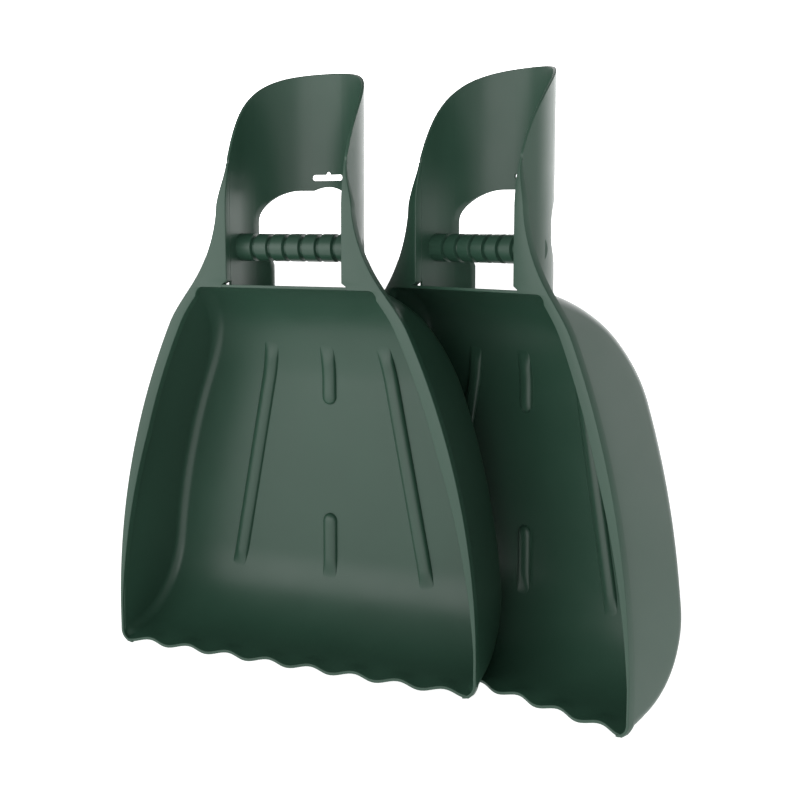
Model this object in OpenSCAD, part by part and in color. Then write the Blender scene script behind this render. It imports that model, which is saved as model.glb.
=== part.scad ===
// A pair of leaf grabber hands. Each hand is one moulding: a deep scoop with a flat back, a flat
// front rim, a wavy toothed lip, a grip bar and a half-round forearm cuff above it. The moulding is
// divided here into face-to-face regions, one module each, and every region is drawn for both hands.
//
// A hand is drawn in its own axes: X across its width, Y from the mouth plane (y = 0) to its back,
// Z up from the tooth tips (z = 0). The frame's origin is the left hand's hanging slot.

/* [Scoop] */
// Widest width across the rim
scoop_w = 360; // [352:1:368]
// Depth from the mouth plane to the outside of the flat floor
scoop_d = 82; // [80:1:84]
// Wall thickness of the moulding
wall = 2.5; // [2:0.1:3]
// Height of the widest point of the side outline
side_z = 28; // [24:1:32]
// Radius of the bowed side outline, seen from the front
side_r = 620; // [600:5:640]
// Radius of the curve above the flat floor, seen from the side
end_r = 89; // [87:1:91]
// Radius of the curve below the flat floor, seen from the side
low_r = 80; // [76:1:84]
// Rise of the straight ramp behind the toothed lip, in degrees
ramp = 18; // [17:0.5:19]
// Height of that ramp's underside at the mouth plane
ramp_z = 1.2; // [0.8:0.1:1.5]
// Height where the flat floor ends, below the upper curve
floor_z1 = 246; // [244:1:248]
// Inward draft of the side walls from the rim to the floor
draft = 4.5; // [3:0.5:7]
// Radius of the corner between the side walls and the floor
corner_r = 10; // [8:1:12]

/* [Rim] */
// Depth of the flat front rim
rim_t = 7; // [6:0.5:8]
// Width of the rim's front face along its upper half
rim_w = 11.5; // [10:0.5:13]
// How far the rim stands outside the side walls
rim_step = 2; // [1.5:0.1:2.4]
// Radius of the rounded lower corners of the rim
foot_r = 12; // [11:0.5:13]
// Half width of the rim's outside at the narrowest place of its flare
neck_hw = 65.5; // [64:0.5:67]
// Radius of the flare between cuff and scoop
flare_r = 125; // [120:1:130]
// Height where that flare turns vertical
flare_z = 412; // [410:1:414]

/* [Toothed lip] */
// Distance between neighbouring tooth tips
tooth_pitch = 42.9; // [42:0.1:43]
// Height of the wave between two tips
tooth_h = 3.5; // [2.5:0.5:5]

/* [Cuff] */
// Outside radius of the half-round cuff, also its half width
cuff_r = 59; // [58:0.5:60]
// Height of the cuff's highest point
cuff_top = 517.5; // [510:1:525]
// Height where the cuff's front edge leaves the mouth plane
sweep_z = 402; // [396:1:408]

/* [Window and slot] */
// Half width of the window above the grip bar
window_hw = 53; // [51:0.5:54]
// Half width of the window below the grip bar
window_low_hw = 45; // [43:0.5:46]
// Height of the window's top edge
window_top = 415.5; // [413:0.5:417]
// Height of the middle of the soft step between the two widths
window_step = 362; // [360:0.5:364]
// Radius of the window's upper corners
window_r = 27; // [24:1:28]
// Rise of the small arc in the middle of the window's top edge
notch_h = 3.2; // [2:0.1:4]
// Half width of that arc
notch_hw = 14; // [12:0.5:16]
// Height of the hanging slot's centre line
slot_z = 427; // [425:0.5:430]
// Length of the hanging slot, end to end
slot_l = 31; // [28:0.5:34]
// Width of the hanging slot
slot_w = 5.1; // [4:0.1:6]

/* [Grip bar] */
// Diameter of the grip bar
grip_d = 24; // [22:0.5:26]
// Height of the grip bar's axis
grip_z = 366.3; // [364:0.5:368]
// Distance from the mouth plane to the front of the grip bar
grip_gap = 15.4; // [13:0.2:17]
// Number of ring grooves round the grip bar
groove_n = 6; // [4:1:6]
// Distance between neighbouring grooves
groove_pitch = 16; // [14:0.5:17]
// Width of a groove
groove_w = 4.4; // [3:0.2:6]
// Depth of a groove
groove_d = 2.8; // [2:0.2:4]

/* [Ribs] */
// Width of a floor rib
rib_w = 14; // [12:0.5:16]
// Height of a floor rib above the floor
rib_h = 4.5; // [2:0.5:5]
// Lower and upper end of the lower middle rib
rib_low = [62, 124];
// Lower and upper end of the upper middle rib
rib_high = [224, 280];
// Lower end of a long side rib, across and up
rib_foot = [99.7, 63];
// Upper end of a long side rib, across and up
rib_head = [56.6, 281];

/* [Right hand] */
// Where the right hand's mouth stands, right of the left hand's
right_x = 149.5; // [149.5:0.5:160]
// Where the right hand's mouth stands, behind the left hand's
right_y = 37; // [37:1:41]
// How far the right hand is turned about the vertical
right_turn = -21.3; // [-22:0.1:-21]

/* [Hidden] */
$fn = 96;

half_w = scoop_w / 2;
// Overshoot of cutting shapes, and a size larger than any part of a hand
over = 1;
big = 700;
// The circle centres of the curves above and below the floor, as distances behind the mouth
end_y = scoop_d - end_r;
low_y = scoop_d - low_r;
// Height where the flat floor starts: the lower curve's centre, touching both ramp and floor
floor_z0 = ramp_z + low_y * tan(ramp) + low_r / cos(ramp);
// The height of a curve of radius r round the upper centre, above it, at a distance behind the mouth
function end_rise(r, y) = sqrt(r * r - (y - end_y) * (y - end_y));
sill_z = floor_z1 + end_rise(end_r, 0);
sill_under_z = floor_z1 + end_rise(end_r - wall, 0);

// Outline of the rim, seen from the front: a bowed arc, a smooth shoulder and a flare
shoulder_z0 = 300;
shoulder_z1 = 343;
neck_z = 396;
rim_top = 438;
function bow_x(z, r) = half_w - side_r + sqrt(r * r - (z - side_z) * (z - side_z));
function bow_slope(z) = -(z - side_z) / sqrt(side_r * side_r - (z - side_z) * (z - side_z));
function flare_x(z) = neck_hw + flare_r - sqrt(flare_r * flare_r - (flare_z - z) * (flare_z - z));
function flare_slope(z) = -(flare_z - z) / sqrt(flare_r * flare_r - (flare_z - z) * (flare_z - z));
function shoulder_x(t, h) =
  (2 * t * t * t - 3 * t * t + 1) * bow_x(shoulder_z0, side_r)
  + (t * t * t - 2 * t * t + t) * h * bow_slope(shoulder_z0)
  + (3 * t * t - 2 * t * t * t) * flare_x(shoulder_z1)
  + (t * t * t - t * t) * h * flare_slope(shoulder_z1);
function neck_x(t) = flare_x(neck_z) - (flare_x(neck_z) - cuff_r) * t * t * (3 - 2 * t);
function outline_x(z) =
  z < shoulder_z0 ? bow_x(z, side_r)
  : z < shoulder_z1 ? shoulder_x((z - shoulder_z0) / (shoulder_z1 - shoulder_z0),
                                 shoulder_z1 - shoulder_z0)
  : z < neck_z ? flare_x(z) : neck_x((z - neck_z) / (rim_top - neck_z));

// Width of the rim's front face: a wall's thickness at the foot, widening to rim_w
rim_z0 = 40;
rim_z1 = 200;
function rim_width(z) = wall + (rim_w - wall) * min(1, max(0, (z - rim_z0) / (rim_z1 - rim_z0)));

// The side walls: circles round the bow's centre, seen from the front
wall_r0 = side_r - rim_step;
wall_r1 = wall_r0 - draft;
// Inside this radius lie the floor and the curves, outside it the side walls
zone_r = wall_r1 - corner_r - over;

// The cuff
cuff_in = cuff_r - wall;
cuff_y = scoop_d - cuff_r;
// The region between the two side nodes of the cuff
cuff_split = window_low_hw;
// Half height of the soft step in the window's sides
window_soft = 12;
// The narrow relief beside the sill, under each flange
relief_w = 4.5;
relief_h = 3;
// Inner corner radius of the rim under the sill
inner_r = 8;

slot_y = scoop_d - wall / 2;
grip_y = grip_gap + grip_d / 2;

// ---- frames ----

// The left hand: its hanging slot is the origin
module left_hand() {
  translate([0, -slot_y, -slot_z]) children();
}

// The right hand, turned and set behind and beside the left one
module right_hand() {
  translate([right_x, right_y - slot_y, -slot_z]) rotate([0, 0, right_turn]) children();
}

// The other side of a hand
module other_side() {
  mirror([1, 0, 0]) children();
}

// A side view shape, drawn in y and z, run through the whole width
module across(hw = big / 2) {
  translate([-hw, 0, 0]) rotate([90, 0, 90]) linear_extrude(2 * hw) children();
}

// A front view shape, drawn in x and z, run from depth y0 to depth y1
module through(y0, y1) {
  translate([0, y1, 0]) rotate([90, 0, 0]) linear_extrude(y1 - y0) children();
}

// ---- building blocks ----

// Side view of the scoop, inset from its outside: ramp, lower curve, floor and upper curve
function arc(r, y, z, from, to, parts) =
  [for (i = [0:parts]) let (a = from + i * (to - from) / parts) [y + r * cos(a), z + r * sin(a)]];
module side_view(inset) {
  lower = arc(low_r - inset, low_y, floor_z0, ramp - 90, 0, 16);
  upper = arc(end_r - inset, end_y, floor_z1, 0, 90, 24);
  front = -2 * rim_t;
  polygon(concat([[front, lower[0][1] - (lower[0][0] - front) * tan(ramp)]], lower, upper));
}

// Section of the scoop's right half round the bow's centre: drafted wall, rounded corner, floor
module wall_section(inset) {
  r0 = wall_r0 - inset;
  r1 = wall_r1 - inset;
  d = scoop_d - inset;
  c = corner_r - inset;
  polygon([[side_r / 2, -over], [r0, -over], [r0, rim_t], [r1, d - c], [r1 - c, d], [side_r / 2, d]]);
  intersection() {
    translate([r1 - c, d - c]) circle(r = c);
    translate([r1 - c, d - c]) square(c);
  }
}

// Everything within the right side wall
module bowed_half(inset) {
  translate([half_w - side_r, 0, side_z]) rotate([-90, 0, 0])
    rotate_extrude($fn = 180) wall_section(inset);
}

// Everything within a radius of the bow's centre, on both sides
module bowed_zone(r) {
  intersection() {
    translate([half_w - side_r, -over, side_z]) rotate([-90, 0, 0])
      cylinder(r = r, h = scoop_d + 2 * over, $fn = 180);
    translate([side_r - half_w, -over, side_z]) rotate([-90, 0, 0])
      cylinder(r = r, h = scoop_d + 2 * over, $fn = 180);
  }
}

// Front view of the shoulder's straight trim above the bow
module shoulder_trim(inset) {
  polygon([
    [0, -over], [big, -over], [big, shoulder_z0], [outline_x(shoulder_z0) - inset, shoulder_z0],
    [outline_x(sill_z) - inset, sill_z], [0, sill_z]
  ]);
}

// The closed shell of floor and curves between the side walls, from a depth to the back
module panel(y0) {
  intersection() {
    across() difference() {
      side_view(0);
      side_view(wall);
    }
    bowed_zone(zone_r);
    translate([-big / 2, y0, -over]) cube([big, big, big]);
  }
}

// Front view of the right half of the rim, with its flange beside the window
module rim_face() {
  outer = concat(
    [for (a = [-90:15:-15]) [half_w - foot_r + foot_r * cos(a), foot_r + foot_r * sin(a)]],
    [for (z = [foot_r:(shoulder_z0 - foot_r) / 16:shoulder_z0 - over]) [outline_x(z), z]],
    [for (i = [0:23]) let (z = shoulder_z0 + i * (rim_top - shoulder_z0) / 24) [outline_x(z), z]],
    [[cuff_r, rim_top]]
  );
  corner_z = sill_under_z - inner_r;
  inner = concat(
    [[cuff_in, rim_top], [cuff_in, sill_z + relief_h], [cuff_in + relief_w, sill_z],
     [cuff_in + relief_w, sill_under_z]],
    [for (a = [90:-15:0]) [outline_x(corner_z) - rim_w - inner_r + inner_r * cos(a),
                           corner_z + inner_r * sin(a)]],
    [for (z = [corner_z - inner_r:-(corner_z - inner_r - foot_r) / 18:foot_r + over])
      [outline_x(z) - rim_width(z), z]],
    [for (a = [0:-15:-90]) [half_w - foot_r + (foot_r - wall) * cos(a),
                            foot_r + (foot_r - wall) * sin(a)]]
  );
  polygon(concat(outer, inner));
}

// The cuff's front edge and top, seen from the side: one cubic curve
function sweep(t) =
  (1 - t) * (1 - t) * (1 - t) * [0, sweep_z]
  + 3 * (1 - t) * (1 - t) * t * [3, sweep_z + 56]
  + 3 * (1 - t) * t * t * [34, cuff_top - 11.5]
  + t * t * t * [scoop_d, cuff_top];
module sweep_view() {
  polygon(concat(
    [[-over, 0], [-over, sweep_z]],
    [for (t = [0:1 / 24:1]) sweep(t)],
    [[scoop_d + over, cuff_top], [scoop_d + over, 0]]
  ));
}

// The cuff's section seen from above, inset from its outside
module cuff_section(inset, y0) {
  translate([0, cuff_y]) circle(r = cuff_r - inset);
  translate([-cuff_r + inset, y0]) square([2 * (cuff_r - inset), cuff_y - y0]);
}

// Front view of the window with its two widths and the small arc in its top edge
module window_view() {
  arc_r = (notch_hw * notch_hw + notch_h * notch_h) / (2 * notch_h);
  for (side = [-1, 1])
    translate([side * (window_hw - window_r), window_top - window_r]) circle(r = window_r);
  side = [for (i = [0:12]) let (t = i / 12)
    [window_low_hw + (window_hw - window_low_hw) * t * t * (3 - 2 * t),
     window_step + (2 * t - 1) * window_soft]];
  polygon(concat([[window_low_hw, 0]], side, [[window_hw, window_top - window_r]],
                 [[-window_hw, window_top - window_r]],
                 [for (i = [12:-1:0]) [-side[i][0], side[i][1]]], [[-window_low_hw, 0]]));
  translate([-window_hw + window_r, window_step])
    square([2 * (window_hw - window_r), window_top - window_step]);
  translate([0, window_top + notch_h - arc_r]) circle(r = arc_r);
}

// Front view of the hanging slot with the round nub on its top edge
module slot_view() {
  straight = slot_l - slot_w;
  for (side = [-1, 1]) translate([side * straight / 2, slot_z]) circle(d = slot_w);
  translate([-straight / 2, slot_z - slot_w / 2]) square([straight, slot_w]);
  translate([0, slot_z + slot_w / 2]) circle(d = slot_w);
}

// The half-round cuff with its window, before it is divided
module cuff_shell() {
  difference() {
    intersection() {
      translate([0, 0, floor_z1]) linear_extrude(cuff_top - floor_z1) difference() {
        intersection() {
          cuff_section(0, rim_t);
          translate([-big / 2, rim_t]) square(big);
        }
        cuff_section(wall, -over);
      }
      across() sweep_view();
    }
    across() side_view(0);
    through(-over, scoop_d + over) window_view();
    through(-over, scoop_d + over) slot_view();
  }
}

// A rib between two points of the front view, as high all along as the inside of the scoop bends
module rib(from, to) {
  run = to - from;
  length = norm(run);
  lean = atan2(run[1], run[0]);
  intersection() {
    through(scoop_d / 2, scoop_d) translate(from) rotate(lean) {
      translate([rib_w / 2, 0]) circle(d = rib_w);
      translate([length - rib_w / 2, 0]) circle(d = rib_w);
      translate([rib_w / 2, -rib_w / 2]) square([length - rib_w, rib_w]);
    }
    across() difference() {
      side_view(wall);
      side_view(wall + rib_h);
    }
  }
}

// ---- regions of one hand ----

// Flat back wall of the scoop
module floor_panel() {
  color("#3a5f4b") intersection() {
    panel(rim_t);
    translate([-big / 2, 0, floor_z0]) cube([big, big, floor_z1 - floor_z0]);
  }
}

// Curved wall below the floor
module lower_curve() {
  color("#345645") intersection() {
    panel(rim_t);
    translate([-big / 2, 0, -over]) cube([big, big, floor_z0 + over]);
  }
}

// Curved wall above the floor, ending in the sill
module upper_curve() {
  color("#345645") {
    intersection() {
      panel(rim_t);
      translate([-big / 2, 0, floor_z1]) cube([big, big, big]);
    }
    intersection() {
      panel(0);
      translate([-cuff_in - relief_w, 0, floor_z1]) cube([2 * (cuff_in + relief_w), rim_t, big]);
    }
  }
}

// Drafted side wall of the right side, with its rounded corner
module side_wall() {
  color("#2f5040") difference() {
    intersection() {
      across() side_view(0);
      bowed_half(0);
      through(-over, scoop_d + over) shoulder_trim(rim_step);
      translate([0, rim_t, -over]) cube([big, big, big]);
    }
    intersection() {
      across() side_view(wall);
      bowed_half(wall);
      through(-over, scoop_d + over) shoulder_trim(rim_step + wall);
    }
    bowed_zone(zone_r);
  }
}

// Flat front rim and flange of the right side
module rim() {
  color("#5c7667") intersection() {
    through(0, rim_t) rim_face();
    across() sweep_view();
  }
}

// Wavy front edge: tooth tips at the bottom, one under each corner
module toothed_lip() {
  end_x = half_w - foot_r;
  step = tooth_pitch / 12;
  wave = [for (x = [-end_x:step:end_x]) [x, tooth_h * (1 - cos(360 * x / tooth_pitch)) / 2]];
  last = [end_x, tooth_h * (1 - cos(360 * end_x / tooth_pitch)) / 2];
  low = concat(wave, [last]);
  color("#4b6a58") through(0, rim_t)
    polygon(concat(low, [for (i = [len(low) - 1:-1:0]) low[i] + [0, wall]]));
}

// Upper back of the cuff with the hanging slot, above the window
module cuff_back() {
  color("#41654f") intersection() {
    cuff_shell();
    translate([-cuff_split, 0, window_step]) cube([2 * cuff_split, big, big]);
  }
}

// Right side of the cuff, down to the scoop
module cuff_side() {
  color("#385c48") intersection() {
    cuff_shell();
    translate([cuff_split, 0, 0]) cube([big, big, big]);
  }
}

// Grip bar with its ring grooves, between the cuff's sides
module grip_bar() {
  color("#4a6f5a") intersection() {
    translate([-cuff_r, grip_y, grip_z]) rotate([0, 90, 0]) difference() {
      cylinder(d = grip_d, h = 2 * cuff_r);
      for (i = [0:groove_n - 1])
        translate([0, 0, cuff_r + (i - (groove_n - 1) / 2) * groove_pitch - groove_w / 2])
          difference() {
            cylinder(d = grip_d + 2 * over, h = groove_w);
            translate([0, 0, -over]) cylinder(d = grip_d - 2 * groove_d, h = groove_w + 2 * over);
          }
    }
    translate([0, 0, grip_z - grip_d]) linear_extrude(2 * grip_d) cuff_section(wall, 0);
  }
}

// Short rib low on the middle of the floor
module rib_lower() {
  color("#557260") rib([0, rib_low[0]], [0, rib_low[1]]);
}

// Short rib high on the middle of the floor
module rib_upper() {
  color("#557260") rib([0, rib_high[0]], [0, rib_high[1]]);
}

// Long leaning rib of the right side
module rib_side() {
  color("#557260") rib(rib_foot, rib_head);
}

// Seen from the front, each hand's outer side is the one away from the other hand
left_hand() floor_panel();  // left_floor
left_hand() lower_curve();  // left_lower_curve
left_hand() upper_curve();  // left_upper_curve
left_hand() other_side() side_wall();  // left_side_wall_outer
left_hand() side_wall();  // left_side_wall_inner
left_hand() other_side() rim();  // left_rim_outer
left_hand() rim();  // left_rim_inner
left_hand() toothed_lip();  // left_toothed_lip
left_hand() cuff_back();  // left_cuff_back
left_hand() other_side() cuff_side();  // left_cuff_side_outer
left_hand() cuff_side();  // left_cuff_side_inner
left_hand() grip_bar();  // left_grip_bar
left_hand() rib_lower();  // left_rib_lower
left_hand() rib_upper();  // left_rib_upper
left_hand() other_side() rib_side();  // left_rib_outer
left_hand() rib_side();  // left_rib_inner
right_hand() floor_panel();  // right_floor
right_hand() lower_curve();  // right_lower_curve
right_hand() upper_curve();  // right_upper_curve
right_hand() side_wall();  // right_side_wall_outer
right_hand() other_side() side_wall();  // right_side_wall_inner
right_hand() rim();  // right_rim_outer
right_hand() other_side() rim();  // right_rim_inner
right_hand() toothed_lip();  // right_toothed_lip
right_hand() cuff_back();  // right_cuff_back
right_hand() cuff_side();  // right_cuff_side_outer
right_hand() other_side() cuff_side();  // right_cuff_side_inner
right_hand() grip_bar();  // right_grip_bar
right_hand() rib_lower();  // right_rib_lower
right_hand() rib_upper();  // right_rib_upper
right_hand() rib_side();  // right_rib_outer
right_hand() other_side() rib_side();  // right_rib_inner
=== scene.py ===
import math

import bmesh
import bpy
from mathutils import Matrix, Vector


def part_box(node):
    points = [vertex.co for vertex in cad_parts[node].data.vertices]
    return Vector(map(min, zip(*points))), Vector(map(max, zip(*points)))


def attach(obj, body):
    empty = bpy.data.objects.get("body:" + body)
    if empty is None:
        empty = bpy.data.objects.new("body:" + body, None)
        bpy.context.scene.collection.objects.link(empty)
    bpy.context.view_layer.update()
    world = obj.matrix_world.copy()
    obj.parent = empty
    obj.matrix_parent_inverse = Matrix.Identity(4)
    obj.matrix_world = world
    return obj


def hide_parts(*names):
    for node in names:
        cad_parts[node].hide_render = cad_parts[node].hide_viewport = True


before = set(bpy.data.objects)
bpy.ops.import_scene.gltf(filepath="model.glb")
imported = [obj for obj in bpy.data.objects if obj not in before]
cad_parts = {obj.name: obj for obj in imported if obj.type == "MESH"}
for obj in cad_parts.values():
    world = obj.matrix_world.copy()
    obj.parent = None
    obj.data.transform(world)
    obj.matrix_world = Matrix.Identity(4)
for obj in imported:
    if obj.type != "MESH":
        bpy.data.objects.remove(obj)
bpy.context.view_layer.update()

# A pair of leaf grabber hands. Each hand is drawn in its own axes, in millimetres: X across its
# width, Y from the mouth plane (y = 0) to its back, Z up from the foot of the rim (z = 0).
# hand_matrix turns that into the row frame, in metres.

MM = 0.001
MOUTH, FOOT_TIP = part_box("left_rim_inner")[0][1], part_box("left_rim_inner")[0][2]

# ---- driving dimensions, read from the frame where a node's box gives them ----

HALF_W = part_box("left_rim_inner")[1][0] / MM
SCOOP_D = (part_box("left_floor")[1][1] - MOUTH) / MM
FLOOR_Z0 = (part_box("left_floor")[0][2] - FOOT_TIP) / MM
FLOOR_Z1 = (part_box("left_floor")[1][2] - FOOT_TIP) / MM
CUFF_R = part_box("left_cuff_side_inner")[1][0] / MM
CUFF_TOP = (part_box("left_cuff_back")[1][2] - FOOT_TIP) / MM
GRIP_D = (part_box("left_grip_bar")[1][2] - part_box("left_grip_bar")[0][2]) / MM
GRIP_Y = (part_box("left_grip_bar")[0][1] - MOUTH) / MM + GRIP_D / 2
GRIP_Z = (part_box("left_grip_bar")[0][2] - FOOT_TIP) / MM + GRIP_D / 2
RIM_T = (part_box("left_rim_inner")[1][1] - MOUTH) / MM

WALL = 2.5

# Scoop: radius of the upper and lower curves and where their centres stand, the slope below the
# lower curve, the side walls' draft and the radius of their corner with the floor
END_R, LOW_R = 89.0, 80.0
END_Y, LOW_Y = SCOOP_D - END_R, SCOOP_D - LOW_R
RAMP = math.radians(18)
DRAFT, CORNER_R = 4.5, 11.0
# The sheet starts this far behind the mouth plane, so that it never shares the rim's front face
FRONT = 0.3
# The side walls end at this depth, inside the rim. Their rows fan out to it: those of the lower
# curve end between these two heights, and those of the floor above them.
WALL_END = 2.5
FAN_LOW, FAN_HIGH = 40.0, 110.0
# The corner takes at most this share of a row of the side wall
CORNER_SHARE = 0.65
# The side walls stand FOOT_STEP inside the rim's outline at the foot and RIM_STEP higher up
FOOT_STEP, RIM_STEP = 0.15, 2.0
STEP_Z0, STEP_Z1 = 10.0, 110.0

# Outline of the rim: bowed sides, a rounded foot, a shoulder and a flare up to the neck
SIDE_R, SIDE_Z = 620.0, 28.0
FOOT_R = 12.0
NECK_HW, FLARE_R, FLARE_Z = 65.5, 125.0, 412.0
SHOULDER_Z0, SHOULDER_Z1, NECK_Z, RIM_TOP = 300.0, 343.0, 396.0, 438.0
# The rim widens from the wall's thickness to RIM_W between these heights
RIM_W, RIM_WIDE_Z0, RIM_WIDE_Z1 = 11.5, 40.0, 200.0
# It thins to FOOT_T round its foot. Its front edges have a small radius.
FOOT_T, FOOT_Z0, FOOT_Z1 = 3.2, 4.0, 28.0
RIM_ROUND, ROUND_SHARE = 0.8, 0.4
# The relief beside the sill, with its depth from the mouth, and the radius of the rim's inner
# corner under it
RELIEF_W, RELIEF_H, GAP_DEPTH = 4.5, 3.0, 8.0
INNER_R = 8.0

# Lip: a wave of teeth, lowered by TOOTH_DROP as a whole, that runs out over the distances from
# LIP_FLAT to TOOTH_FADE behind the front edge
TOOTH_PITCH, TOOTH_H, TOOTH_SET_BACK = 42.9, 3.5, 3.2
TOOTH_DROP, LIP_FLAT, TOOTH_FADE = 0.7, 1.0, 20.0
# It ends on the tip four pitches from the middle
WAVE_REACH = 4 * TOOTH_PITCH

# Cuff: the front edge and top follow one cubic curve, given as (depth, height)
SWEEP_Z = 402.0
SWEEP_CURVE = ((0, SWEEP_Z), (3, SWEEP_Z + 56), (34, CUFF_TOP - 11.5), (SCOOP_D, CUFF_TOP))
# Its lower edge sinks this far into the upper curve
SEAT_SINK = 1.2
# The window in its back is narrower below a soft step, and has a notch in its top edge
WINDOW_HW, WINDOW_LOW_HW, WINDOW_TOP, WINDOW_R = 53.0, 45.0, 415.5, 27.0
WINDOW_STEP, WINDOW_SOFT = 362.0, 12.0
NOTCH_H, NOTCH_HW = 3.2, 14.0
# The hanging slot above it: height of its middle, length and width
SLOT_Z, SLOT_L, SLOT_W = 427.0, 31.0, 5.1

# Grip bar: its grooves have shoulders that start inside and end outside the groove's width
GROOVE_N, GROOVE_PITCH, GROOVE_W, GROOVE_D = 6, 16.0, 4.4, 2.8
SHOULDER_IN, SHOULDER_OUT = 0.6, 0.1
# Its flat ends reach this far into the cuff's sides. Where the cuff curves inwards, at their back
# edge, they come out of it by up to 0.8 mm.
GRIP_SINK = 1.0
GRIP_RINGS, GRIP_SIDES = 340, 72

# Ribs: half round, with RIB_SINK of depth in the floor. Ends are (distance from the middle,
# height), and an end that lies on a curve fades over RIB_FADE.
RIB_W, RIB_H, RIB_FADE, RIB_SINK = 14.0, 4.5, 20.0, 0.8
SIDE_RIB = ((99.7, 63), (56.6, 281))
LOWER_RIB = ((0, 62), (0, 124))
UPPER_RIB = ((0, 224), (0, 280))

# Meshes: points closer than WELD are made one, edges shorter than SHORTEST go, and edges sharper
# than SHARP are rounded or kept sharp
WELD, SHORTEST = 0.02, 0.01
EDGE_ROUND = 0.4
SHARP, GRIP_SHARP = math.radians(50), math.radians(40)
HALVINGS = 30
# A column this close to an edge counts as being on it
HAIR = 1e-6

# Rows and columns of the meshes. The upper curve has closer rows over its last TOP_END radians.
LIP_ROWS, RAMP_ROWS, LOW_ROWS, FLOOR_ROWS = 9, 6, 18, 14
TOP_ROWS, TOP_END_ROWS, TOP_END = 22, 3, 0.08
FLAT_COLS, CORNER_COLS, WALL_COLS = 52, 8, 8
FOOT_ROWS, SIDE_ROWS, INNER_ROWS, FLANGE_ROWS = 8, 56, 7, 34
SLOT_END_COLS = 5
CUFF_ROWS = (8, 5, 6, 14)
RIB_STEP, RIB_COLS = 5, 8

# The right hand's place, from the left hand's
RIGHT_TURN = math.radians(-21.3)
RIGHT_SHIFT = Vector((0.1495, 0.037, 0.0))

# Looks and camera, in metres and watts
PLASTIC_COLOR, PLASTIC_ROUGHNESS = (0.026, 0.069, 0.045), 0.36
MOTTLING, UNEVEN_GLOSS = 0.07, 0.03
CAMERA_PLACE = (0.6001, -1.05875, -0.0402)
CAMERA_TILT, CAMERA_TURN = math.radians(82.56), math.radians(26.566)
CAMERA_LENS, CAMERA_SENSOR = 60.82, 36.0
FLOOR_HALF = 12.0
PANEL_PLACE, PANEL_TARGET = (-0.9, -2.2, 0.35), (-0.3, 0.0, -0.1)
PANEL_SIZE, PANEL_POWER = (4.4, 1.5), 33.0


# ---- helpers ----

def share(value, start, end):
    """0 before start, 1 after end, even in between."""
    return min(1.0, max(0.0, (value - start) / (end - start)))


def ramp(value, start, end):
    """0 before start, 1 after end, smooth in between."""
    t = share(value, start, end)
    return t * t * (3 - 2 * t)


def steps(start, end, count):
    """count values after start, the last one being end."""
    return [start + (end - start) * (i + 1) / count for i in range(count)]


def solve(rising, target, low, high):
    """Where a rising function reaches target, by halving."""
    for _ in range(HALVINGS):
        middle = (low + high) / 2
        if rising(middle) < target:
            low = middle
        else:
            high = middle
    return low


def half_chord(radius, offset):
    """Half the chord of a circle at a distance from its centre, 0 outside it."""
    return math.sqrt(max(0.0, radius ** 2 - offset ** 2))


def hand_matrix(side):
    """Row frame from a hand's own axes."""
    place = Matrix.Translation((0, MOUTH, FOOT_TIP))
    if side == "right":
        place = Matrix.Translation(RIGHT_SHIFT) @ place @ Matrix.Rotation(RIGHT_TURN, 4, "Z")
    return place


def mesh_object(name, side, verts, faces, bevel=0.0):
    """A smooth-shaded piece of one hand, from points in millimetres, riding on that hand."""
    bm = bmesh.new()
    place = hand_matrix(side)
    points = [bm.verts.new(place @ (Vector(v) * MM)) for v in verts]
    for face in faces:
        if len(set(face)) > 2:
            bm.faces.new([points[i] for i in face])
    bmesh.ops.remove_doubles(bm, verts=bm.verts, dist=WELD * MM)
    bmesh.ops.dissolve_degenerate(bm, edges=bm.edges, dist=SHORTEST * MM)
    bmesh.ops.recalc_face_normals(bm, faces=bm.faces)
    mesh = bpy.data.meshes.new(name)
    bm.to_mesh(mesh)
    bm.free()
    mesh.shade_smooth()
    obj = bpy.data.objects.new(name, mesh)
    bpy.context.collection.objects.link(obj)
    if bevel:
        rounding = obj.modifiers.new("rounded_edges", "BEVEL")
        rounding.width = bevel * MM
        rounding.segments = 2
        rounding.limit_method = "ANGLE"
        rounding.angle_limit = SHARP
        rounding.use_clamp_overlap = False
        weighted = obj.modifiers.new("even_shading", "WEIGHTED_NORMAL")
        weighted.keep_sharp = True
    obj.data.materials.append(plastic)
    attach(obj, side + "_hand")
    return obj


def grid_quads(rows, wide):
    """Faces of a sheet of points, rows of wide points each."""
    return [[r * wide + i, r * wide + i + 1, (r + 1) * wide + i + 1, (r + 1) * wide + i]
            for r in range(rows - 1) for i in range(wide - 1)]


def closed_sheet(outer, inner, quads):
    """Points and faces of a solid: two copies of a sheet joined along their open edges."""
    size = len(outer)
    uses = {}
    for quad in quads:
        for a, b in zip(quad, quad[1:] + quad[:1]):
            uses[frozenset((a, b))] = None if frozenset((a, b)) in uses else (a, b)
    faces = list(quads) + [[i + size for i in reversed(quad)] for quad in quads]
    faces += [[b, a, a + size, b + size] for a, b in filter(None, uses.values())]
    return outer + inner, faces


def welded_sheet(outer, inner, quads):
    """closed_sheet, with the bands of the sheet joined where their outer points meet."""
    merged, index = {}, []
    for i, point in enumerate(outer):
        key = tuple(round(v, 3) for v in point)
        index.append(merged.setdefault(key, i))
    joined = []
    for quad in quads:
        corners = list(dict.fromkeys(index[i] for i in quad))
        if len(corners) > 2:
            joined.append(corners)
    return closed_sheet(outer, inner, joined)


def lofted(rings):
    """Points and faces of a solid through closed rings of the same number of points."""
    count = len(rings[0])
    faces = [list(range(count)), [(len(rings) - 1) * count + i for i in reversed(range(count))]]
    for r in range(len(rings) - 1):
        for i in range(count):
            j = (i + 1) % count
            faces.append([r * count + i, (r + 1) * count + i, (r + 1) * count + j, r * count + j])
    return [point for ring in rings for point in ring], faces


# ---- outline of the rim, seen from the front ----

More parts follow.
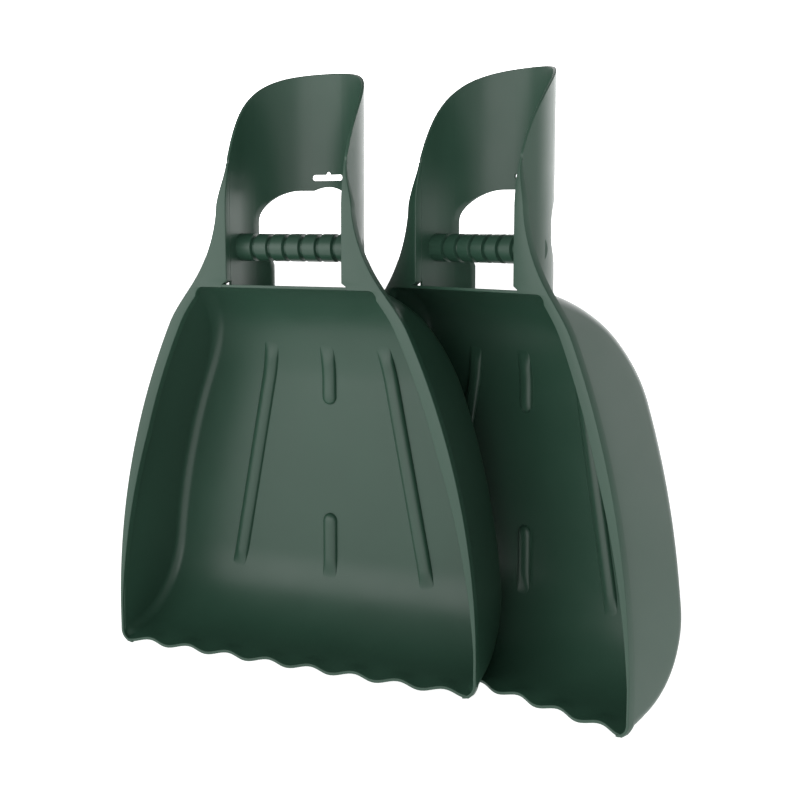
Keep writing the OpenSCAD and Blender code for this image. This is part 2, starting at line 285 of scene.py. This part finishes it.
def bow_x(z):
    return HALF_W - SIDE_R + math.sqrt(SIDE_R ** 2 - (z - SIDE_Z) ** 2)


def flare_x(z):
    return NECK_HW + FLARE_R - math.sqrt(FLARE_R ** 2 - (FLARE_Z - z) ** 2)


def shoulder_x(z):
    """Cubic blend from the bow to the flare, with both slopes kept."""
    h = SHOULDER_Z1 - SHOULDER_Z0
    t = (z - SHOULDER_Z0) / h
    rise0, rise1 = SHOULDER_Z0 - SIDE_Z, FLARE_Z - SHOULDER_Z1
    slope0 = -rise0 / math.sqrt(SIDE_R ** 2 - rise0 ** 2)
    slope1 = -rise1 / math.sqrt(FLARE_R ** 2 - rise1 ** 2)
    return ((2 * t ** 3 - 3 * t ** 2 + 1) * bow_x(SHOULDER_Z0)
            + (t ** 3 - 2 * t ** 2 + t) * h * slope0
            + (3 * t ** 2 - 2 * t ** 3) * flare_x(SHOULDER_Z1)
            + (t ** 3 - t ** 2) * h * slope1)


def outline_x(z):
    """Half width of the rim's outside at a height."""
    if z < FOOT_R:
        return HALF_W - FOOT_R + half_chord(FOOT_R, FOOT_R - z)
    if z < SHOULDER_Z0:
        return bow_x(z)
    if z < SHOULDER_Z1:
        return shoulder_x(z)
    if z < NECK_Z:
        return flare_x(z)
    return flare_x(NECK_Z) - (flare_x(NECK_Z) - CUFF_R) * ramp(z, NECK_Z, RIM_TOP)


# ---- scoop: lower curve, floor, upper curve, side walls and wavy lip as one sheet ----

def side_profile(inset):
    """Stations up the middle of the sheet: depth, height, and the height that the side walls
    run to at the mouth, where they end inside the rim."""
    low_r, end_r = LOW_R - inset, END_R - inset
    touch_y = LOW_Y + low_r * math.sin(RAMP)
    touch_z = FLOOR_Z0 - low_r * math.cos(RAMP)

    def ramp_z(y):
        return touch_z - (touch_y - y) * math.tan(RAMP)

    stations = []
    for y in [FRONT] + steps(FRONT, TOOTH_FADE, LIP_ROWS) + steps(TOOTH_FADE, touch_y, RAMP_ROWS):
        rise = max(0.0, (y - WALL_END) / (touch_y - WALL_END))
        stations.append((y, ramp_z(y), ramp_z(WALL_END) + (FAN_LOW - ramp_z(WALL_END)) * rise))
    for a in steps(RAMP - math.pi / 2, 0.0, LOW_ROWS):
        mouth_z = FAN_HIGH + (FAN_HIGH - FAN_LOW) * a / (math.pi / 2 - RAMP)
        stations.append((LOW_Y + low_r * math.cos(a), FLOOR_Z0 + low_r * math.sin(a), mouth_z))
    for z, mouth_z in zip(steps(FLOOR_Z0, FLOOR_Z1, FLOOR_ROWS),
                          steps(FAN_HIGH, FLOOR_Z1, FLOOR_ROWS)):
        stations.append((END_Y + end_r, z, mouth_z))
    top = math.acos((FRONT - END_Y) / end_r)
    for a in steps(0.0, top - TOP_END, TOP_ROWS) + steps(top - TOP_END, top, TOP_END_ROWS):
        mouth_z = FLOOR_Z1 + (WALL_END - END_Y) * math.tan(a)
        stations.append((END_Y + end_r * math.cos(a), FLOOR_Z1 + end_r * math.sin(a), mouth_z))
    return stations


def wall_x(y, z, inset):
    """Half width of a side wall at a depth and height, with its draft."""
    step = FOOT_STEP + (RIM_STEP - FOOT_STEP) * ramp(z, STEP_Z0, STEP_Z1)
    lean = DRAFT * share(y, RIM_T, SCOOP_D - CORNER_R)
    return outline_x(z) - step - lean - inset


def lip_wave(x, y, z, distance):
    """Moves a point near the front edge onto the wave of teeth."""
    fade = 1 - ramp(distance, LIP_FLAT, TOOTH_FADE)
    reach = min(abs(x), WAVE_REACH)
    valley = (1 - math.cos(2 * math.pi * reach / TOOTH_PITCH)) / 2
    return x, y + TOOTH_SET_BACK * valley * fade, z + (TOOTH_H * valley - TOOTH_DROP) * fade


def scoop_half_section(station, inset, distance):
    """Points from the middle to the mouth along one station, on the side of positive x."""
    y, z, mouth_z = station
    run = math.hypot(y - WALL_END, mouth_z - z)
    ny, nz = (WALL_END - y) / run, (mouth_z - z) / run
    reach = run if y > WALL_END else 0.0
    corner = min(CORNER_R - inset, CORNER_SHARE * reach)

    def at(d, back):
        return (wall_x(y + ny * d, z + nz * d, inset) - back, y + ny * d, z + nz * d)

    edge = at(0, corner)[0]
    points = [(edge * i / FLAT_COLS, y, z) for i in range(FLAT_COLS + 1)]
    for i in range(1, CORNER_COLS + 1):
        angle = math.pi / 2 * i / CORNER_COLS
        points.append(at(corner * (1 - math.cos(angle)), corner * (1 - math.sin(angle))))
    points += [at(d, 0.0) for d in steps(corner, reach, WALL_COLS)]
    return [lip_wave(*p, distance) for p in points]


def scoop_surface(inset):
    """One face of the scoop's sheet, as rows of points from side to side."""
    rows = []
    profile = side_profile(inset)
    for station in profile:
        distance = math.hypot(station[0] - profile[0][0], station[1] - profile[0][1])
        half = scoop_half_section(station, inset, distance)
        rows.append([(-x, y, z) for x, y, z in reversed(half[1:])] + half)
    return rows


def scoop(side):
    """The scoop stands for the six regions of the moulding that its sheet runs through."""
    outer, inner = scoop_surface(0), scoop_surface(WALL)
    quads = grid_quads(len(outer), len(outer[0]))
    verts, faces = closed_sheet(sum(outer, []), sum(inner, []), quads)
    obj = mesh_object(side + "_scoop", side, verts, faces, bevel=EDGE_ROUND)
    regions = ("floor", "lower_curve", "upper_curve", "side_wall_outer", "side_wall_inner",
               "toothed_lip")
    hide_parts(*(f"{side}_{region}" for region in regions))


# ---- rim ----

def sweep(t):
    """Depth and height of the cuff's front edge and top, for t from 0 to 1."""
    weights = ((1 - t) ** 3, 3 * (1 - t) ** 2 * t, 3 * (1 - t) * t ** 2, t ** 3)
    return tuple(sum(w * p[i] for w, p in zip(weights, SWEEP_CURVE)) for i in (0, 1))


def sweep_at(value, axis):
    """The sweep's other coordinate where its depth (axis 0) or height (axis 1) is value."""
    return sweep(solve(lambda t: sweep(t)[axis], value, 0.0, 1.0))[1 - axis]


def rim_width(z):
    return WALL + (RIM_W - WALL) * share(z, RIM_WIDE_Z0, RIM_WIDE_Z1)


def rim_stations():
    """Pairs of outer and inner points (x, z), from the foot up to the cuff."""
    sill_z = FLOOR_Z1 + math.sqrt(END_R ** 2 - END_Y ** 2)
    under_z = FLOOR_Z1 + math.sqrt((END_R - WALL) ** 2 - END_Y ** 2)
    cuff_in = CUFF_R - WALL
    centre = HALF_W - FOOT_R
    pairs = []
    for i in range(FOOT_ROWS + 1):
        a = -math.pi / 2 * (1 - i / FOOT_ROWS)
        pairs.append(tuple((centre + r * math.cos(a), FOOT_R + r * math.sin(a))
                           for r in (FOOT_R, FOOT_R - WALL)))
    corner_z = under_z - INNER_R
    pairs += [((outline_x(z), z), (outline_x(z) - rim_width(z), z))
              for z in steps(FOOT_R, corner_z, SIDE_ROWS)]
    corner_x = outline_x(corner_z) - RIM_W - INNER_R
    for i in range(1, INNER_ROWS + 1):
        a = math.pi / 2 * i / INNER_ROWS
        z = corner_z + INNER_R * i / INNER_ROWS
        inner = (corner_x + INNER_R * math.cos(a), corner_z + INNER_R * math.sin(a))
        pairs.append(((outline_x(z), z), inner))
    gap_x = cuff_in + RELIEF_W
    relief_top = sill_z + RELIEF_H
    for z, inner in ((under_z + 1, (gap_x, under_z)), (sill_z + 0.5, (gap_x, sill_z)),
                     (relief_top + 1, (cuff_in, relief_top))):
        pairs.append(((outline_x(z), z), inner))
    pairs += [((outline_x(z), z), (cuff_in, z))
              for z in steps(relief_top + 1, RIM_TOP, FLANGE_ROWS)]
    return pairs


def rim(side, sign, place):
    rings = []
    for outer, inner in rim_stations():
        z = max(outer[1], inner[1])
        front = sweep_at(z, 1) if z > SWEEP_Z else 0.0
        back = FOOT_T + (RIM_T - FOOT_T) * ramp(z, FOOT_Z0, FOOT_Z1)
        depth = back - front
        width = math.dist(outer, inner)
        r = min(RIM_ROUND, ROUND_SHARE * depth, ROUND_SHARE * width)
        ux, uz = (inner[0] - outer[0]) / width, (inner[1] - outer[1]) / width
        ring = []
        for along, turn, order in ((r, 1, (0, 1, 2, 3)), (width - r, -1, (3, 2, 1, 0))):
            for k in order:
                a = math.pi / 2 * k / 3
                s = along - turn * r * math.cos(a)
                ring.append((outer[0] + ux * s, front + r * (1 - math.sin(a)), outer[1] + uz * s))
        ring += [(inner[0], back, inner[1]), (outer[0], back, outer[1])]
        rings.append([(sign * x, y, z) for x, y, z in ring])
    obj = mesh_object(f"{side}_{place}_rim", side, *lofted(rings))
    obj.data.set_sharp_from_angle(angle=SHARP)
    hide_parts(f"{side}_rim_{place}")


# ---- cuff ----

def cuff_columns(r):
    """Points (x, y) round one face of the cuff, from the middle of its back to its front edge.
    They are closest where the slot's and the window's edges turn."""
    slot_straight = (SLOT_L - SLOT_W) / 2
    nub = SLOT_W / 2
    window_straight = WINDOW_HW - WINDOW_R
    quarter = [nub * math.sin(math.pi / 2 * i / SLOT_END_COLS)
               for i in range(1, SLOT_END_COLS + 1)]
    xs = [0.0] + quarter
    xs += steps(nub, slot_straight, 5)
    xs += [slot_straight + x for x in quarter]
    xs += steps(SLOT_L / 2, window_straight, 3)
    low_angle = math.acos((WINDOW_LOW_HW - WINDOW_HW + WINDOW_R) / WINDOW_R)
    corner = steps(math.pi / 2, low_angle, 6) + steps(low_angle, 0.0, 8)
    xs += [window_straight + WINDOW_R * math.cos(a) for a in corner]
    centre_y = SCOOP_D - CUFF_R
    columns = [(x, centre_y + math.sqrt(r * r - x * x)) for x in xs]
    last = math.acos(WINDOW_HW / r)
    columns += [(r * math.cos(a), centre_y + r * math.sin(a)) for a in steps(last, 0.0, 6)]
    # The seat steps up at GAP_DEPTH, and the front edge ends inside the rim
    before_gap = GAP_DEPTH - 0.2
    columns += [(r, y) for y in steps(centre_y, GAP_DEPTH, 3) + [before_gap]]
    columns += [(r, y) for y in steps(before_gap, RIM_T - 0.1, 3)]
    return columns


def window_edge(x):
    """Height of the window's top edge above a point across."""
    arc_r = (NOTCH_HW ** 2 + NOTCH_H ** 2) / (2 * NOTCH_H)
    run = max(0.0, x - (WINDOW_HW - WINDOW_R))
    edge = WINDOW_TOP - WINDOW_R + half_chord(WINDOW_R, run)
    notch = WINDOW_TOP + NOTCH_H - arc_r + half_chord(arc_r, x)
    return max(edge, notch) if x < NOTCH_HW else edge


def window_side(x):
    """Height where the soft step in the window's side reaches a point across."""
    target = (x - WINDOW_LOW_HW) / (WINDOW_HW - WINDOW_LOW_HW)
    return WINDOW_STEP + WINDOW_SOFT * solve(lambda t: ramp(t, -1, 1), target, -1.0, 1.0)


def slot_edges(x):
    """Lower and upper edge of the hanging slot above a point across."""
    r = SLOT_W / 2
    half = half_chord(r, max(0.0, x - (SLOT_L - SLOT_W) / 2))
    return SLOT_Z - half, SLOT_Z + half + half_chord(r, x)


def cuff_surface(r):
    """For each column, its bands of points: low, middle, under the slot and above the slot."""
    seat_r = END_R - SEAT_SINK
    sill_z = FLOOR_Z1 + math.sqrt(END_R ** 2 - END_Y ** 2)
    corner_z = WINDOW_TOP - WINDOW_R
    table = []
    for x, y in cuff_columns(r):
        slot_low, slot_high = slot_edges(x)
        seat = FLOOR_Z1 + half_chord(seat_r, y - END_Y) if y >= GAP_DEPTH else sill_z + RELIEF_H
        side = window_side(x)
        bands = [(seat, side), (side, corner_z), (window_edge(min(x, WINDOW_HW)), slot_low),
                 (slot_high, sweep_at(y, 0))]
        table.append([[(x, y, z) for z in [low] + steps(low, high, count)]
                      for (low, high), count in zip(bands, CUFF_ROWS)])
    return table


def cuff(side):
    outer, inner = cuff_surface(CUFF_R), cuff_surface(CUFF_R - WALL)
    columns = len(outer)
    band_sizes = [len(band) for band in outer[0]]
    starts = [sum(band_sizes[:b]) for b in range(len(band_sizes))]
    total = sum(band_sizes)

    def points(surface):
        right = [p for column in surface for band in column for p in band]
        return right + [(-x, y, z) for x, y, z in right]

    quads = []
    for c in range(columns - 1):
        x = outer[c][0][0][0] + HAIR
        shown = [x >= WINDOW_LOW_HW, x >= WINDOW_HW, True, True]
        for start, size, is_shown in zip(starts, band_sizes, shown):
            for i in range(size - 1 if is_shown else 0):
                k = c * total + start + i
                quad = [k, k + 1, k + total + 1, k + total]
                quads.append(quad)
                quads.append([q + columns * total for q in reversed(quad)])
    verts, faces = welded_sheet(points(outer), points(inner), quads)
    obj = mesh_object(side + "_cuff", side, verts, faces, bevel=EDGE_ROUND)
    regions = ("cuff_back", "cuff_side_outer", "cuff_side_inner")
    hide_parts(*(f"{side}_{region}" for region in regions))


# ---- grip bar ----

def grip_radius(x):
    """Radius at a place along the bar: ring grooves with soft shoulders."""
    depth = 0.0
    for i in range(GROOVE_N):
        off = abs(x - (i - (GROOVE_N - 1) / 2) * GROOVE_PITCH)
        rise = ramp(off, GROOVE_W / 2 - SHOULDER_IN, GROOVE_W / 2 + SHOULDER_OUT)
        depth = max(depth, GROOVE_D * (1 - rise))
    return GRIP_D / 2 - depth


def grip_bar(side):
    half = CUFF_R - WALL + GRIP_SINK
    rings = []
    for i in range(GRIP_RINGS + 1):
        x = -half + 2 * half * i / GRIP_RINGS
        r = grip_radius(x)
        rings.append([(x, GRIP_Y + r * math.cos(a), GRIP_Z + r * math.sin(a))
                      for a in (2 * math.pi * k / GRIP_SIDES for k in range(GRIP_SIDES))])
    obj = mesh_object(side + "_grip", side, *lofted(rings))
    obj.data.set_sharp_from_angle(angle=GRIP_SHARP)
    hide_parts(side + "_grip_bar")


# ---- ribs ----

def inside_y(z):
    """Depth of the inside of the scoop at a height, for the floor and the curves next to it."""
    if z < FLOOR_Z0:
        return LOW_Y + math.sqrt((LOW_R - WALL) ** 2 - (FLOOR_Z0 - z) ** 2)
    return END_Y + math.sqrt((END_R - WALL) ** 2 - max(0.0, z - FLOOR_Z1) ** 2)


def rib(side, place, start, end):
    """A raised half-round bar on the floor. An end that lies on a curve dies away into it."""
    run = Vector(end) - Vector(start)
    along, across = run.normalized(), Vector((-run[1], run[0])).normalized()
    rows = 2 * int(run.length / RIB_STEP)
    half = [RIB_W / 2 * math.sin(math.pi / 2 * k / RIB_COLS)
            for k in range(-RIB_COLS, RIB_COLS + 1)]
    shift = [run.length * (1 - math.cos(math.pi * r / rows)) / 2 for r in range(rows + 1)]
    points = []
    for top in (True, False):
        for s in shift:
            end_gap = min(s, run.length - s)
            reach = math.sqrt(1 - (1 - min(1.0, end_gap / (RIB_W / 2))) ** 2)
            fade = ramp(s, 0, RIB_FADE) if start[1] < FLOOR_Z0 else 1.0
            if end[1] > FLOOR_Z1:
                fade *= ramp(run.length - s, 0, RIB_FADE)
            for h in half:
                x, z = Vector(start) + along * s + across * (h * reach)
                round_off = math.sqrt(max(0.0, 1 - (2 * h / RIB_W) ** 2))
                lift = RIB_H * fade * reach * round_off if top else -RIB_SINK
                points.append((x, inside_y(z) - lift, z))
    size = len(points) // 2
    quads = grid_quads(rows + 1, len(half))
    verts, faces = closed_sheet(points[:size], points[size:], quads)
    obj = mesh_object(f"{side}_{place}_rib", side, verts, faces)
    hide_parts(f"{side}_rib_{place}")


# ---- material ----

def moulded_plastic(name, color, roughness):
    """Semi-gloss moulded plastic: fine grain, soft waviness, uneven gloss and faint mottling."""
    mat = bpy.data.materials.new(name)
    mat.use_nodes = True
    nodes, links = mat.node_tree.nodes, mat.node_tree.links
    shader = nodes["Principled BSDF"]
    shader.inputs["IOR"].default_value = 1.5
    place = nodes.new("ShaderNodeTexCoord")
    # Most of a noise lies between these two values
    noise_low, noise_high = 0.3, 0.7

    def noise(scale, detail):
        node = nodes.new("ShaderNodeTexNoise")
        node.inputs["Scale"].default_value = scale
        node.inputs["Detail"].default_value = detail
        links.new(place.outputs["Object"], node.inputs["Vector"])
        return node.outputs["Fac"]

    def remap(source, low, high):
        node = nodes.new("ShaderNodeMapRange")
        node.inputs["From Min"].default_value = noise_low
        node.inputs["From Max"].default_value = noise_high
        node.inputs["To Min"].default_value = low
        node.inputs["To Max"].default_value = high
        links.new(source, node.inputs["Value"])
        return node.outputs["Result"]

    def bump(scale, detail, strength, distance):
        node = nodes.new("ShaderNodeBump")
        node.inputs["Strength"].default_value = strength
        node.inputs["Distance"].default_value = distance
        links.new(noise(scale, detail), node.inputs["Height"])
        return node

    blotches = nodes.new("ShaderNodeValToRGB")
    for element, position, tint in zip(blotches.color_ramp.elements, (noise_low, noise_high),
                                       (1 - MOTTLING, 1 + MOTTLING)):
        element.position = position
        element.color = [c * tint for c in color] + [1]
    links.new(noise(9.0, 4.0), blotches.inputs["Fac"])
    links.new(blotches.outputs["Color"], shader.inputs["Base Color"])
    gloss = remap(noise(35.0, 5.0), roughness - UNEVEN_GLOSS, roughness + UNEVEN_GLOSS)
    links.new(gloss, shader.inputs["Roughness"])

    grain = bump(1400.0, 3.0, strength=0.10, distance=0.00025)
    waves = bump(14.0, 1.0, strength=0.12, distance=0.0015)
    links.new(waves.outputs["Normal"], grain.inputs["Normal"])
    links.new(grain.outputs["Normal"], shader.inputs["Normal"])
    return mat


# ---- scene ----

def make_camera():
    data = bpy.data.cameras.new("camera")
    data.sensor_width = CAMERA_SENSOR
    data.lens = CAMERA_LENS
    camera = bpy.data.objects.new("camera", data)
    camera.location = CAMERA_PLACE
    camera.rotation_euler = (CAMERA_TILT, 0.0, CAMERA_TURN)
    bpy.context.collection.objects.link(camera)
    bpy.context.scene.camera = camera


def make_floor():
    """A pale floor under the feet, which glows so that it is as white as the photograph's."""
    corners = [(x * FLOOR_HALF, y * FLOOR_HALF, FOOT_TIP)
               for x, y in ((-1, -1), (1, -1), (1, 1), (-1, 1))]
    mesh = bpy.data.meshes.new("floor")
    mesh.from_pydata(corners, [], [(0, 1, 2, 3)])
    floor = bpy.data.objects.new("floor", mesh)
    bpy.context.collection.objects.link(floor)
    mat = bpy.data.materials.new("pale_floor")
    mat.use_nodes = True
    shader = mat.node_tree.nodes["Principled BSDF"]
    shader.inputs["Base Color"].default_value = (0.5, 0.5, 0.5, 1)
    shader.inputs["Roughness"].default_value = 0.9
    shader.inputs["Emission Color"].default_value = (1, 1, 1, 1)
    shader.inputs["Emission Strength"].default_value = 0.95
    mesh.materials.append(mat)


def softbox(name, place, target, size, power):
    data = bpy.data.lights.new(name, "AREA")
    data.shape = "RECTANGLE"
    data.size, data.size_y = size
    data.energy = power
    light = bpy.data.objects.new(name, data)
    light.location = place
    light.rotation_euler = (Vector(target) - Vector(place)).to_track_quat("-Z", "Y").to_euler()
    bpy.context.collection.objects.link(light)


def make_light():
    """A white studio: bright behind, softer above, and one wide panel in front. Its other sides
    are darker, and look grey in views from the side and from behind."""
    world = bpy.data.worlds.new("studio")
    world.use_nodes = True
    nodes, links = world.node_tree.nodes, world.node_tree.links
    background = nodes["Background"]
    background.inputs["Color"].default_value = (1.0, 1.0, 1.0, 1)
    direction = nodes.new("ShaderNodeTexCoord")
    split = nodes.new("ShaderNodeSeparateXYZ")
    links.new(direction.outputs["Generated"], split.inputs["Vector"])

    def band(axis, start, end, low, high):
        """Brightness low before start and high after end along one axis of the direction."""
        node = nodes.new("ShaderNodeMapRange")
        node.interpolation_type = "SMOOTHSTEP"
        node.inputs["From Min"].default_value = start
        node.inputs["From Max"].default_value = end
        node.inputs["To Min"].default_value = low
        node.inputs["To Max"].default_value = high
        links.new(split.outputs[axis], node.inputs["Value"])
        return node.outputs["Result"]

    product = nodes.new("ShaderNodeMath")
    product.operation = "MULTIPLY"
    links.new(band("Z", start=0.2, end=0.8, low=1.0, high=0.35), product.inputs[0])
    links.new(band("Y", start=0.4, end=0.88, low=0.6, high=2.7), product.inputs[1])
    links.new(product.outputs["Value"], background.inputs["Strength"])
    bpy.context.scene.world = world
    softbox("front_panel", PANEL_PLACE, PANEL_TARGET, PANEL_SIZE, PANEL_POWER)


bpy.context.scene.view_settings.view_transform = "Standard"
make_camera()
make_light()
make_floor()
plastic = moulded_plastic("dark_green_plastic", PLASTIC_COLOR, PLASTIC_ROUGHNESS)

for hand in ("left", "right"):
    # The outer side of a hand is the one away from the other hand
    outer_sign = -1 if hand == "left" else 1
    scoop(hand)
    cuff(hand)
    grip_bar(hand)
    for place, sign in (("outer", outer_sign), ("inner", -outer_sign)):
        rim(hand, sign, place)
        rib(hand, place, *((sign * x, z) for x, z in SIDE_RIB))
    rib(hand, "lower", *LOWER_RIB)
    rib(hand, "upper", *UPPER_RIB)
